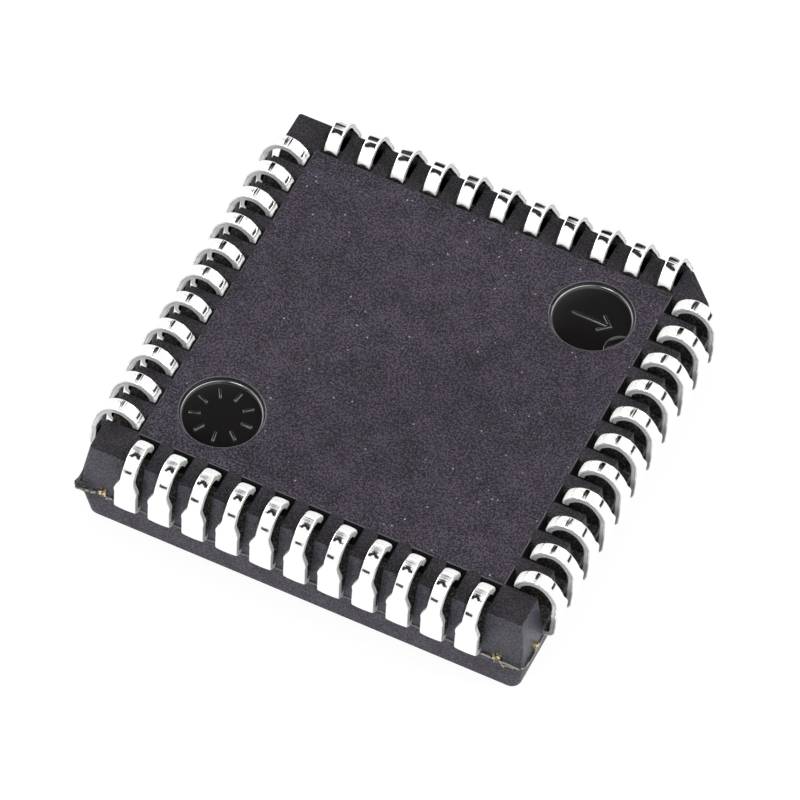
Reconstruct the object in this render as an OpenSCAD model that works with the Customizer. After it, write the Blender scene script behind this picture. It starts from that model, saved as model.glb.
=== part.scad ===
// Plastic leaded chip carrier with J-shaped leads on all four sides.
// It lies on its marking face with the leads curling upwards.
// Origin: centre of the marking face. Units: millimetres, +Z up.

/* [Leads] */
// Leads along each side (odd, so that one lead is central)
leads_per_side = 11; // [5:2:17]
// Spacing of the leads
pitch = 1.27; // [1.2:0.01:1.4]
// Thickness of the lead frame sheet
lead_thickness = 0.25; // [0.2:0.01:0.3]
// Width of a lead at its shoulder and leg
lead_wide = 0.80; // [0.66:0.01:0.86]
// Width of a lead round its crest and tip
lead_narrow = 0.48; // [0.33:0.01:0.56]
// How far the outer face of a leg stands off the parting line
lead_reach = 0.43; // [0.42:0.01:0.6]
// Height of the crest above the lead-side face
standoff = 0.535; // [0.5:0.005:0.8]
// Distance inwards from the outer face of the leg to the crest line
crest_inset = 0.98; // [0.9:0.01:1.1]
// Outer radius of the crest
crest_radius = 0.755; // [0.6:0.005:0.85]
// Angle that the leg turns through before the tighter crest begins
leg_turn = 45; // [35:1:55]
// Inner radius of the bend where a lead leaves the body
bend_radius = 0.15; // [0.1:0.01:0.17]
// Depth of the tip's corners below the lead-side face
tip_depth = 0.16; // [0.1:0.01:0.2]
// Depth of the hollow in the sheared end of the tip
tip_hollow = 0.08; // [0.02:0.01:0.12]
// Depth below the lead-side face where a leg starts to widen
taper_start = 0.22; // [0.1:0.01:0.3]
// Depth below the lead-side face where a leg has its full width
taper_end = 0.60; // [0.45:0.01:0.8]

/* [Moulded body] */
// Distance from the last lead in a row to the parting line
end_margin = 1.98; // [1.9:0.01:2.2]
// Thickness of the body
body_height = 3.70; // [3.5:0.01:3.9]
// Height of the parting line above the marking face
parting_height = 1.73; // [1.65:0.01:1.85]
// Draft of the moulded walls
draft = 8.6; // [5:0.1:10]
// Leg of the index chamfer, measured on the lead-side face
index_chamfer = 1.01; // [0.7:0.01:1.3]
// Leg of the small cut on the other corners, measured on the lead-side face
corner_cut = 0.15; // [0.05:0.01:0.3]
// How far the flash line stands out at the parting line
lip_reach = 0.04; // [0.02:0.005:0.08]
// Thickness of the flash line
lip_thickness = 0.07; // [0.03:0.01:0.15]
// How far the broken gate stands out at its corner
gate_reach = 0.30; // [0.1:0.01:0.4]
// Width of the broken gate at the wall
gate_width = 0.90; // [0.5:0.01:1.2]
// Width of the broken gate at its torn end
gate_end_width = 0.28; // [0.1:0.01:0.5]
// Thickness of the broken gate
gate_thickness = 0.18; // [0.1:0.01:0.25]

/* [Lead slots] */
// Gap between a tip and the end wall of its slot
tip_clearance = 0.215; // [0.1:0.005:0.4]
// Gap on each side of a lead in its slot
side_clearance = 0.15; // [0.05:0.01:0.2]
// Depth of a slot at its end wall
slot_depth = 1.25; // [0.8:0.01:1.4]
// Plastic left over a lead at the mouth of its slot
slot_cover = 0.15; // [0.05:0.01:0.3]

/* [Ejector recesses] */
// Distance of each recess from the centre, along X and along Y
recess_place = 4.71; // [4.5:0.01:4.8]
// Diameter of a recess
recess_diameter = 2.94; // [2.4:0.01:3.1]
// Depth of a recess
recess_depth = 0.25; // [0.1:0.01:0.4]
// Diameter of the pin that struck the floor of a recess
pin_diameter = 2.70; // [2:0.01:2.8]
// How deep the pin struck
pin_depth = 0.04; // [0.02:0.01:0.1]
// Sideways offset of the pin from its recess
pin_offset = 0.10; // [0:0.01:0.11]
// Direction of that offset
pin_heading = 135; // [0:5:360]
// Height of the raised marks on the recess floors
mark_height = 0.06; // [0.03:0.01:0.1]
// Width of the raised marks
mark_width = 0.11; // [0.08:0.01:0.16]
// Length of one tick of the dial
tick_length = 0.42; // [0.2:0.01:0.5]
// Radius of the dial, to the middle of its ticks
dial_radius = 0.93; // [0.7:0.01:1]
// Ticks on the dial
tick_count = 9; // [6:1:12]
// Length of the arrow
arrow_length = 1.50; // [1:0.01:1.7]
// Length of a barb of the arrow
barb_length = 0.55; // [0.3:0.01:0.7]
// Angle between a barb and the shaft of the arrow
barb_angle = 35; // [20:1:60]
// Diameter of the index dimple on the marking face
dimple_diameter = 1.00; // [0.6:0.01:1.5]
// Depth of the index dimple
dimple_depth = 0.10; // [0.05:0.01:0.2]
// Distance of the index dimple from the centre
dimple_place = 5.60; // [3:0.01:6]

/* [Lead frame inside] */
// Side of the square die paddle
paddle_size = 7.60; // [6:0.01:8]
// Gap between the paddle and the ends of the fingers
finger_gap = 0.40; // [0.3:0.01:0.6]
// Width of a finger
finger_width = 0.34; // [0.25:0.01:0.4]
// Spacing of the fingers at their inner ends
finger_pitch = 0.70; // [0.6:0.01:0.74]
// Length of the straight inner end of a finger
finger_end = 0.60; // [0.4:0.01:0.8]
// Length of the full-width root of a lead inside the body
root_length = 0.45; // [0.3:0.01:0.6]
// Length of a finger behind its root before it turns towards the die
finger_straight = 0.40; // [0.2:0.01:0.6]
// Width of the tie bars that carry the paddle
tie_width = 0.28; // [0.2:0.01:0.36]
// Distance of a tie bar's cut end from the last lead in the row
tie_spacing = 1.01; // [0.9:0.01:1.1]
// How far the cut ends of the tie bars stand out
tie_stub = 0.06; // [0.05:0.01:0.12]

/* [Die and wires] */
// Side of the square silicon die
die_size = 5.00; // [3:0.01:5.6]
// Thickness of the die
die_thickness = 0.40; // [0.25:0.01:0.5]
// Thickness of the layer that bonds the die to the paddle
attach_thickness = 0.04; // [0.02:0.005:0.06]
// How far that layer spreads past the die
attach_spread = 0.20; // [0.05:0.01:0.4]
// Thickness of a bond wire
wire_thickness = 0.05; // [0.04:0.005:0.07]
// Spacing of the bond pads along an edge of the die
pad_pitch = 0.42; // [0.2:0.01:0.44]
// Distance of the bond pads in from the edge of the die
pad_inset = 0.15; // [0.1:0.01:0.25]
// Height of a wire's loop beyond the face of the die
loop_height = 0.22; // [0.15:0.01:0.3]
// Length of a wire's foot on a finger
wire_foot = 0.18; // [0.1:0.01:0.25]
// Length of a wire's foot on its pad
pad_foot = 0.09; // [0.06:0.01:0.12]
// Length along a wire from the end on its pad to its loop
loop_start = 0.38; // [0.32:0.01:0.5]
// Length of the level stretch of the loop
loop_length = 0.50; // [0.3:0.01:0.7]

/* [Hidden] */
lead_count = 4 * leads_per_side;
row_half = (leads_per_side - 1) / 2 * pitch;
body_half = row_half + end_margin;
upper_height = body_height - parting_height;
face_half = body_half - tan(draft) * upper_height;
marking_half = body_half - tan(draft) * parting_height;
frame_top = parting_height + lead_thickness;

// The J: outer face of the leg, exit bend, wide arc of the leg, tight arc of the crest
leg_r = body_half + lead_reach;
bend_outer = bend_radius + lead_thickness;
bend_r = leg_r - bend_outer;
bend_z = parting_height + bend_outer;
crest_r = leg_r - crest_inset;
crest_z = body_height + standoff - crest_radius;
arc_radius = (crest_inset - crest_radius * cos(leg_turn)) / (1 - cos(leg_turn));
arc_r = leg_r - arc_radius;
arc_z = crest_z - (arc_radius - crest_radius) * sin(leg_turn);
crest_middle = (leg_turn + 180) / 2;
tip_r = crest_r - crest_radius;
tip_z = body_height - tip_depth;
tip_cut_radius = (pow(lead_narrow / 2, 2) + pow(tip_hollow, 2)) / (2 * tip_hollow);
root_r = body_half - root_length;

slot_r = tip_r - tip_clearance;
slot_width = lead_narrow + 2 * side_clearance;
recess_floor = body_height - recess_depth;

finger_tip_r = paddle_size / 2 + finger_gap;
tie_place = row_half + tie_spacing;
tie_end = body_half + tie_stub;

attach_z = parting_height - attach_thickness;
die_z = attach_z - die_thickness;
pad_r = die_size / 2 - pad_inset;
wire_r = finger_tip_r + finger_end / 2;

// Room beyond a face, for cuts that pass right through it
over = 1;
$fn = 96;

function two_digits(n) = n < 10 ? str("0", n) : str(n);
function lead_name(n) = str("lead_", two_digits(n));

// Lead 1 is central on the back row, and the numbers run clockwise seen from above
function place_in_turn(n) = (n - 1 + (leads_per_side - 1) / 2) % lead_count;
function side_of(n) = floor(place_in_turn(n) / leads_per_side);
function step_of(n) = place_in_turn(n) % leads_per_side - (leads_per_side - 1) / 2;

// Distance along a diagonal to a corner cut, on each face and at the parting line
function diagonal_face(cut) = (2 * face_half - cut) / sqrt(2);
function diagonal_parting(cut) = diagonal_face(cut) + body_half - face_half;
function diagonal_marking(cut) = diagonal_parting(cut) - body_half + marking_half;

// Turns a shape drawn in a row's own directions (x along the row, y outwards) to its side
module on_side(side) {
    rotate([0, 0, -90 * side]) children();
}

// Extrudes a side view, drawn as distance outwards against height, across a row
module across_row(width) {
    rotate([90, 0, 90]) linear_extrude(height = width, center = true) children();
}

// A wedge of a ring between two angles of less than 90 degrees from each other
module ring_part(outer, thickness, from, to) {
    far = 2 * outer;
    intersection() {
        difference() {
            circle(r = outer);
            circle(r = outer - thickness);
        }
        polygon([
            [0, 0],
            [far * cos(from), far * sin(from)],
            [far * cos((from + to) / 2), far * sin((from + to) / 2)],
            [far * cos(to), far * sin(to)]
        ]);
    }
}

// Side view of the J, from its root in the body round to its tip
module j_band() {
    translate([root_r, parting_height]) square([bend_r - root_r, lead_thickness]);
    translate([bend_r, bend_z]) ring_part(bend_outer, lead_thickness, -90, 0);
    translate([leg_r - lead_thickness, bend_z]) square([lead_thickness, arc_z - bend_z]);
    translate([arc_r, arc_z]) ring_part(arc_radius, lead_thickness, 0, leg_turn);
    translate([crest_r, crest_z]) ring_part(crest_radius, lead_thickness, leg_turn, crest_middle);
    translate([crest_r, crest_z]) ring_part(crest_radius, lead_thickness, crest_middle, 180);
}

// Front view of the leg: a wide shoulder that narrows towards the crest
module leg_outline() {
    wide = lead_wide / 2;
    narrow = lead_narrow / 2;
    bottom = parting_height - over;
    top = body_height + standoff + over;
    polygon([
        [-wide, bottom],
        [wide, bottom],
        [wide, body_height - taper_end],
        [narrow, body_height - taper_start],
        [narrow, top],
        [-narrow, top],
        [-narrow, body_height - taper_start],
        [-wide, body_height - taper_end]
    ]);
}

// The J of one lead, outside the body, with its root
module j_form() {
    outside = leg_r + over;
    difference() {
        intersection() {
            across_row(lead_wide) j_band();
            union() {
                translate([0, outside, 0]) rotate([90, 0, 0])
                    linear_extrude(height = outside - crest_r) leg_outline();
                translate([-lead_narrow / 2, 0, parting_height])
                    cube([lead_narrow, crest_r, body_height + standoff]);
            }
        }
        translate([0, crest_r, tip_z + tip_hollow - tip_cut_radius])
            rotate([90, 0, 0]) cylinder(r = tip_cut_radius, h = crest_radius + over);
    }
}

// The finger of one lead, which runs inside the body towards the die
module finger(step) {
    side = finger_width / 2;
    outer_x = step * pitch;
    inner_x = step * finger_pitch;
    start = root_r + finger_straight / 2;
    turn = root_r - finger_straight;
    knee = finger_tip_r + finger_end;
    translate([0, 0, parting_height]) linear_extrude(height = lead_thickness) polygon([
        [outer_x - side, start],
        [outer_x - side, turn],
        [inner_x - side, knee],
        [inner_x - side, finger_tip_r],
        [inner_x + side, finger_tip_r],
        [inner_x + side, knee],
        [outer_x + side, turn],
        [outer_x + side, start]
    ]);
}

// The part of one lead that the body holds
module lead_root(step) {
    translate([step * pitch - lead_wide / 2, root_r, parting_height])
        cube([lead_wide, bend_r - root_r, lead_thickness]);
    finger(step);
}

module lead(n) {
    color("gainsboro") on_side(side_of(n)) union() {
        translate([step_of(n) * pitch, 0, 0]) j_form();
        finger(step_of(n));
    }
}

// One wall-to-wall section of the body, with its two ends at their own distances
module drafted_block(face_a, parting_a, marking_a, face_b, parting_b, marking_b) {
    rotate([90, 0, 0]) linear_extrude(height = 4 * body_half, center = true) polygon([
        [-marking_a, 0],
        [marking_b, 0],
        [parting_b, parting_height],
        [face_b, body_height],
        [-face_a, body_height],
        [-parting_a, parting_height]
    ]);
}

module corner_block(angle, cut_a, cut_b) {
    rotate([0, 0, angle]) drafted_block(
        diagonal_face(cut_a), diagonal_parting(cut_a), diagonal_marking(cut_a),
        diagonal_face(cut_b), diagonal_parting(cut_b), diagonal_marking(cut_b)
    );
}

// The plain moulded block: four drafted walls, an index chamfer and three small corner cuts
module block() {
    intersection() {
        drafted_block(face_half, body_half, marking_half, face_half, body_half, marking_half);
        rotate([0, 0, 90])
            drafted_block(face_half, body_half, marking_half, face_half, body_half, marking_half);
        corner_block(45, corner_cut, index_chamfer);
        corner_block(-45, corner_cut, corner_cut);
    }
}

// Flash line: a thin lip round the parting line, just below the lead frame
module flash_line() {
    reach = body_half + lip_reach;
    index_reach = diagonal_parting(index_chamfer) + lip_reach;
    corner_reach = diagonal_parting(corner_cut) + lip_reach;
    translate([0, 0, parting_height - lip_thickness]) linear_extrude(height = lip_thickness)
        intersection() {
            square(2 * reach, center = true);
            rotate(45) translate([-corner_reach, -2 * reach])
                square([corner_reach + index_reach, 4 * reach]);
            rotate(-45) square([2 * corner_reach, 4 * reach], center = true);
        }
}

// Broken gate at the corner opposite the index chamfer
module gate() {
    wall = diagonal_parting(corner_cut) - gate_reach;
    reach = diagonal_parting(corner_cut) + gate_reach;
    rotate([0, 0, 225]) translate([0, 0, parting_height - gate_thickness])
        linear_extrude(height = gate_thickness) polygon([
            [wall, -gate_width / 2],
            [reach, -gate_end_width / 2],
            [reach, gate_end_width / 2],
            [wall, gate_width / 2]
        ]);
}

// Slot for the tip of one lead, with a floor that slopes down towards the wall
module slot(step) {
    mouth = frame_top + slot_cover;
    translate([step * pitch, 0, 0]) across_row(slot_width) polygon([
        [slot_r, body_height - slot_depth],
        [body_half, mouth],
        [body_half + over, mouth],
        [body_half + over, body_height + over],
        [slot_r, body_height + over]
    ]);
}

// Round recess left by an ejector, struck a little deeper by an off-centre pin
module recess(offset_angle) {
    translate([0, 0, recess_floor]) cylinder(d = recess_diameter, h = recess_depth + over);
    rotate([0, 0, offset_angle]) translate([pin_offset, 0, recess_floor - pin_depth])
        cylinder(d = pin_diameter, h = pin_depth + over);
}

module mark_bar(length) {
    translate([0, -mark_width / 2, 0]) cube([length, mark_width, mark_height + pin_depth]);
}

// Dial of raised ticks on the floor of a recess
module dial() {
    for (tick = [0 : tick_count - 1])
        rotate([0, 0, 360 / tick_count * tick]) translate([dial_radius - tick_length / 2, 0, 0])
            mark_bar(tick_length);
}

// Raised arrow on the floor of a recess
module arrow() {
    translate([-arrow_length / 2, 0, 0]) mark_bar(arrow_length);
    for (turn = [-1, 1])
        translate([arrow_length / 2, 0, 0]) rotate([0, 0, 180 + turn * barb_angle]) mark_bar(barb_length);
}

// Everything that the plastic flowed round
module moulded_in() {
    for (side = [0 : 3])
        for (step = [-(leads_per_side - 1) / 2 : (leads_per_side - 1) / 2])
            on_side(side) lead_root(step);
    paddle_form();
    attach_form();
    die_form();
    wires_form();
}

module body() {
    color("dimgray") union() {
        difference() {
            union() {
                block();
                flash_line();
                gate();
            }
            for (side = [0 : 3])
                for (step = [-(leads_per_side - 1) / 2 : (leads_per_side - 1) / 2])
                    on_side(side) slot(step);
            translate([recess_place, recess_place, 0]) recess(pin_heading);
            translate([-recess_place, -recess_place, 0]) recess(pin_heading);
            translate([0, dimple_place, -over]) cylinder(d = dimple_diameter, h = dimple_depth + over);
            moulded_in();
        }
        translate([recess_place, recess_place, recess_floor - pin_depth]) arrow();
        translate([-recess_place, -recess_place, recess_floor - pin_depth]) dial();
    }
}

// Die paddle with its diagonal tie bars. Three end in a fork, whose cut ends show at the walls.
module paddle_form() {
    bar_length = tie_place * sqrt(2);
    index_length = diagonal_parting(index_chamfer) + tie_stub;
    translate([0, 0, parting_height]) linear_extrude(height = lead_thickness) union() {
        square(paddle_size, center = true);
        rotate(45) translate([0, -tie_width / 2]) square([index_length, tie_width]);
        for (corner = [135, 225, 315]) {
            rotate(corner) translate([0, -tie_width / 2]) square([bar_length, tie_width]);
            rotate(corner - 45) fork_arm(1);
            rotate(corner + 45) fork_arm(-1);
        }
    }
}

module fork_arm(turn) {
    start = tie_place - tie_width / 2;
    translate([start, turn * tie_place - tie_width / 2]) square([tie_end - start, tie_width]);
}

module attach_form() {
    size = die_size + 2 * attach_spread;
    translate([-size / 2, -size / 2, attach_z]) cube([size, size, attach_thickness]);
}

module die_form() {
    translate([-die_size / 2, -die_size / 2, die_z]) cube([die_size, die_size, die_thickness]);
}

// One bond wire, from the face of a finger down past the die and back up to a pad
module wire(step) {
    from = [step * finger_pitch, wire_r];
    to = [step * pad_pitch, pad_r];
    run = norm(to - from);
    heading = atan2(to[1] - from[1], to[0] - from[0]);
    loop_z = die_z - loop_height;
    path = [
        [0, parting_height],
        [wire_foot, parting_height],
        [run - loop_start - loop_length, loop_z],
        [run - loop_start, loop_z],
        [run - pad_foot, die_z],
        [run, die_z]
    ];
    below = [for (i = [len(path) - 1 : -1 : 0]) path[i] - [0, wire_thickness]];
    translate([from[0], from[1], 0]) rotate([0, 0, heading]) rotate([90, 0, 0])
        linear_extrude(height = wire_thickness, center = true) polygon(concat(path, below));
}

module wires_form() {
    for (side = [0 : 3])
        for (step = [-(leads_per_side - 1) / 2 : (leads_per_side - 1) / 2])
            on_side(side) wire(step);
}

module die_paddle() {
    color("goldenrod") paddle_form();
}

module die_attach() {
    color("silver") attach_form();
}

module die() {
    color("slategray") die_form();
}

module bond_wires() {
    color("gold") wires_form();
}

body();
die_paddle();
die_attach();
die();
bond_wires();
for (n = [1 : lead_count])
    lead(n);
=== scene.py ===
# %% [markdown]
# # A leaded chip carrier, lying on its back
#
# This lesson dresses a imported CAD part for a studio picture. The part is a square chip package: a black
# moulded body with J-shaped metal leads on all four sides. The CAD solids are exact, but their arcs come
# as coarse facets and their edges are razor sharp. So the body and the leads are modelled again here in
# the same frame, with fine arcs and small rounded edges, and each new piece takes the place of its solid.

# %% Load the frame
import math
import random

import bmesh
import bpy
from mathutils import Matrix, Vector


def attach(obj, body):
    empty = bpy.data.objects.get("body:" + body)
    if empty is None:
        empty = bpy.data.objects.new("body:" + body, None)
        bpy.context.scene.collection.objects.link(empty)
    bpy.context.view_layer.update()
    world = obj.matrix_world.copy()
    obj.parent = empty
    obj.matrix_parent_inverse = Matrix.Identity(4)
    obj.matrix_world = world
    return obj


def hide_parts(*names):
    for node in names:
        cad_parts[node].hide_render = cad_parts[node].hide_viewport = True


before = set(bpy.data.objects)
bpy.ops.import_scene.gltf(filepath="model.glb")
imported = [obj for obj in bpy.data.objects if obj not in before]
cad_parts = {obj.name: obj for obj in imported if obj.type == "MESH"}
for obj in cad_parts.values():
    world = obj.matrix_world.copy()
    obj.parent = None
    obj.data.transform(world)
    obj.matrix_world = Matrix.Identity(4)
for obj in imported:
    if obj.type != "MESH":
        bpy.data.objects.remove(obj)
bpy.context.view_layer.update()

print("CAD nodes:", len(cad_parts))

# %% [markdown]
# ## Small helpers
#
# Colours are written as the hex codes that one reads off a screen, and Blender wants linear values, so one
# function converts them. A second one adds a shader node and sets its inputs by name. A third turns a
# finished bmesh, modelled in millimetres, into an object at the origin that rides on the CAD part.

# %% Helpers
MM = 0.001


def linear(code):
    """Linear colour of an sRGB hex code."""
    parts = [int(code[i:i + 2], 16) / 255 for i in (1, 3, 5)]
    return tuple(c / 12.92 if c <= 0.04045 else ((c + 0.055) / 1.055) ** 2.4 for c in parts) + (1.0,)


def add(tree, kind, inputs=None, **settings):
    """Adds one shader node. An input is a constant, or the output socket that feeds it."""
    made = tree.nodes.new(kind)
    for key, value in settings.items():
        setattr(made, key, value)
    for key, value in (inputs or {}).items():
        if isinstance(value, bpy.types.NodeSocket):
            tree.links.new(value, made.inputs[key])
        else:
            made.inputs[key].default_value = value
    return made


def new_material(name):
    """An empty node material, with its Principled shader and its tree."""
    material = bpy.data.materials.new(name)
    material.use_nodes = True
    tree = material.node_tree
    return material, tree, tree.nodes["Principled BSDF"]


def make_piece(bm, name, materials, nodes):
    """Turns a bmesh in millimetres into a piece of the part, in place of the named CAD nodes."""
    bmesh.ops.recalc_face_normals(bm, faces=bm.faces)
    bm.transform(Matrix.Scale(MM, 4))
    for face in bm.faces:
        face.smooth = True
    mesh = bpy.data.meshes.new(name)
    bm.to_mesh(mesh)
    bm.free()
    mesh.set_sharp_from_angle(angle=math.radians(35))
    for material in materials:
        mesh.materials.append(material)
    piece = bpy.data.objects.new(name, mesh)
    bpy.context.scene.collection.objects.link(piece)
    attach(piece, "root")
    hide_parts(*nodes)
    return piece


print("helpers ready")

# %% [markdown]
# ## Moulding compound
#
# The body is epoxy filled with silica sand and soot, so its own colour is nearly black. The mould gave it
# several skins. The middle of the face was cast against an eroded tool and is rough, with a grain of silica
# and a few painted glints. The ribs and corners round it are smoother and darker. The leaning walls are
# painted a little lighter and bluish, and the resting half lighter still and dull: partly their own skins,
# partly painted light for the light that they catch from the tent and the floor. A rounded square and two
# heights tell them apart.

# %% Moulding compound: where each skin lies
PARTING, TOP = 1.73, 3.70
ERODED_FLAT, ERODED_FADE = 6.2, (0.50, 0.62)

epoxy, tree, shader = new_material("moulded epoxy, eroded and plain skins")
place = add(tree, "ShaderNodeTexCoord").outputs["Object"]
square = (ERODED_FLAT * MM, ERODED_FLAT * MM, 1)
past = add(tree, "ShaderNodeVectorMath", {0: place}, operation="ABSOLUTE").outputs[0]
past = add(tree, "ShaderNodeVectorMath", {0: past, 1: square}, operation="SUBTRACT").outputs[0]
past = add(tree, "ShaderNodeVectorMath", {0: past, 1: (0, 0, 0)}, operation="MAXIMUM").outputs[0]
distance = add(tree, "ShaderNodeVectorMath", {0: past}, operation="LENGTH").outputs["Value"]
inner = add(tree, "ShaderNodeMapRange", {
    "Value": distance, "From Min": ERODED_FADE[0] * MM, "From Max": ERODED_FADE[1] * MM,
    "To Min": 1.0, "To Max": 0.0,
}).outputs[0]
height = add(tree, "ShaderNodeSeparateXYZ", {0: place}).outputs["Z"]
on_face = add(tree, "ShaderNodeMath", {0: height, 1: (TOP - 0.02) * MM}, operation="GREATER_THAN").outputs[0]
resting = add(tree, "ShaderNodeMath", {0: height, 1: PARTING * MM}, operation="LESS_THAN").outputs[0]
eroded = add(tree, "ShaderNodeMath", {0: inner, 1: on_face}, operation="MULTIPLY").outputs[0]
print("skins of", epoxy.name)

# %% [markdown]
# The grain is noise with waves of about 0.07 mm, pushed to a strong contrast so that single grains show,
# over faint blotches ten times as large. The same noise also moves the surface a little, so grains catch the
# light. A second noise turns some of the pale grains bluish and others purple. Painted glints: the middles of
# a few random cells are painted pale grey into the face colour, as highlights on single grains.

# %% Moulding compound: grain and painted glints
grain = add(tree, "ShaderNodeTexNoise", {
    "Vector": place, "Scale": 1 / (0.07 * MM), "Detail": 3.0, "Roughness": 0.6,
}).outputs["Fac"]
blotch = add(tree, "ShaderNodeTexNoise", {
    "Vector": place, "Scale": 1 / (0.8 * MM), "Detail": 2.0, "Roughness": 0.5,
}).outputs["Fac"]
mixed = add(tree, "ShaderNodeMath", {0: blotch, 1: 0.16, 2: grain}, operation="MULTIPLY_ADD").outputs[0]
shade = add(tree, "ShaderNodeMapRange", {"Value": mixed, "From Min": 0.51, "From Max": 0.71}).outputs[0]
hue = add(tree, "ShaderNodeTexNoise", {
    "Vector": place, "Scale": 1 / (0.13 * MM), "Detail": 1.0,
}).outputs["Fac"]
hue = add(tree, "ShaderNodeMapRange", {"Value": hue, "From Min": 0.4, "From Max": 0.6}).outputs[0]

pale = add(tree, "ShaderNodeMix", {
    0: hue, 6: linear("#4b475b"), 7: linear("#584a58"),
}, data_type="RGBA").outputs[2]
tones_and_painted_light = {}
# The wall and lower tones are lighter than the top, the walls' a little bluish: partly the skins' own colour,
# partly painted light for the light they catch from the tent and the floor.
for skin, dark, light in (("wall", linear("#1f1e27"), linear("#4d4a59")),
                          ("lower", linear("#302e34"), linear("#5c5863")),
                          ("rib", linear("#0a080b"), linear("#39343d")),
                          ("face", linear("#08060a"), pale)):
    tones_and_painted_light[skin] = add(tree, "ShaderNodeMix", {0: shade, 6: dark, 7: light}, data_type="RGBA").outputs[2]

cells = add(tree, "ShaderNodeTexVoronoi", {"Vector": place, "Scale": 1 / (0.09 * MM)})
chance = add(tree, "ShaderNodeSeparateColor", {"Color": cells.outputs["Color"]}).outputs[0]
rare = add(tree, "ShaderNodeMapRange", {"Value": chance, "From Min": 0.990, "From Max": 0.997}).outputs[0]
close = add(tree, "ShaderNodeMath", {0: cells.outputs["Distance"], 1: 0.36}, operation="LESS_THAN").outputs[0]
painted_glint = add(tree, "ShaderNodeMath", {0: rare, 1: close}, operation="MULTIPLY").outputs[0]
# Painted glints: pale grey specks in the face colour stand in for highlights on single grains.
tones_and_painted_light["face"] = add(tree, "ShaderNodeMix", {
    0: painted_glint, 6: tones_and_painted_light["face"], 7: linear("#a3a1ab"),
}, data_type="RGBA").outputs[2]
print("tones:", ", ".join(tones_and_painted_light))

# %% [markdown]
# Each skin also has its own gloss: the eroded face is the dullest, and the walls, drawn along a smooth tool,
# shine most. One function mixes four numbers or four colours by place, so all three settings share it.

# %% Moulding compound: one shader for all skins
def by_zone(wall, lower, rib, face, kind="FLOAT"):
    """One number or colour for each skin, mixed by place."""
    a, b, out = (6, 7, 2) if kind == "RGBA" else (2, 3, 0)
    sides = add(tree, "ShaderNodeMix", {0: resting, a: wall, b: lower}, data_type=kind).outputs[out]
    upper = add(tree, "ShaderNodeMix", {0: eroded, a: rib, b: face}, data_type=kind).outputs[out]
    return add(tree, "ShaderNodeMix", {0: on_face, a: sides, b: upper}, data_type=kind).outputs[out]


bump = add(tree, "ShaderNodeBump", {"Height": grain, "Strength": 0.9, "Distance": 0.04 * MM}).outputs[0]
tree.links.new(by_zone(**tones_and_painted_light, kind="RGBA"), shader.inputs["Base Color"])
tree.links.new(by_zone(wall=0.32, lower=0.40, rib=0.45, face=0.60), shader.inputs["Roughness"])
tree.links.new(by_zone(wall=0.5, lower=0.04, rib=0.20, face=0.20), shader.inputs["Specular IOR Level"])
tree.links.new(bump, shader.inputs["Normal"])
print("material:", epoxy.name)

# %% [markdown]
# More finishes of the same compound. The ejector pins are polished, so the floors that they leave mirror
# the darkest part of the studio. Rims rub against the tool and turn shiny, and they are painted pale as a
# painted highlight line. The slots are dark and speckled, their inner walls and the walls of the recesses are
# near-black, partly as painted shade, and a torn gate is dull and black. Flash, the film of resin that creeps
# into the split of the mould, looks pale. A plain finish needs only numbers, so one function makes them all,
# and two get a pattern on top.

# %% Plain finishes
def simple(name, code, metallic, rough, shine=0.5):
    """A plain finish: one colour, one roughness."""
    material, _, shader = new_material(name)
    shader.inputs["Base Color"].default_value = linear(code)
    shader.inputs["Metallic"].default_value = metallic
    shader.inputs["Roughness"].default_value = rough
    shader.inputs["Specular IOR Level"].default_value = shine
    return material


polished = simple("moulded epoxy, polished by the ejector pin", "#171515", 0.0, 0.10, 1.0)
torn = simple("moulded epoxy, torn at the gate", "#141212", 0.0, 0.4, 0.5)
tree = torn.node_tree
place = add(tree, "ShaderNodeTexCoord").outputs["Object"]
ragged = add(tree, "ShaderNodeTexNoise", {
    "Vector": place, "Scale": 1 / (0.12 * MM), "Detail": 4.0,
}).outputs["Fac"]
uneven = add(tree, "ShaderNodeBump", {"Height": ragged, "Strength": 1.0, "Distance": 0.08 * MM}).outputs[0]
tree.links.new(uneven, tree.nodes["Principled BSDF"].inputs["Normal"])

slot_skin = simple("moulded epoxy, inside the slots", "#3a3733", 0.0, 0.7, 0.3)
tree = slot_skin.node_tree
place = add(tree, "ShaderNodeTexCoord").outputs["Object"]
speck = add(tree, "ShaderNodeTexNoise", {
    "Vector": place, "Scale": 1 / (0.09 * MM), "Detail": 3.0,
}).outputs["Fac"]
speck = add(tree, "ShaderNodeMapRange", {"Value": speck, "From Min": 0.48, "From Max": 0.68}).outputs[0]
speckled = add(tree, "ShaderNodeMix", {
    0: speck, 6: linear("#2a2825"), 7: linear("#6b6966"),
}, data_type="RGBA").outputs[2]
tree.links.new(speckled, tree.nodes["Principled BSDF"].inputs["Base Color"])

resin = simple("epoxy flash, thin and pale", "#a39e94", 0.0, 0.3)
# Rim finish: shiny, and painted pale as a painted highlight line along the rims.
rim_sheen = simple("moulded epoxy, shiny rim painted pale as a highlight", "#55525a", 0.0, 0.25, 1.0)
# Near-black for the inner walls of slots and recesses: partly the compound's own colour, partly painted shade.
shaded_wall = simple("moulded epoxy, near-black walls with painted shade", "#121111", 0.0, 0.6, 0.2)
skins = [epoxy, polished, torn, resin, slot_skin, rim_sheen, shaded_wall]
EPOXY, POLISHED, TORN, RESIN, SLOT, RIM_SHEEN, SHADED_WALL = range(len(skins))
print("finishes:", len(skins))

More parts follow.
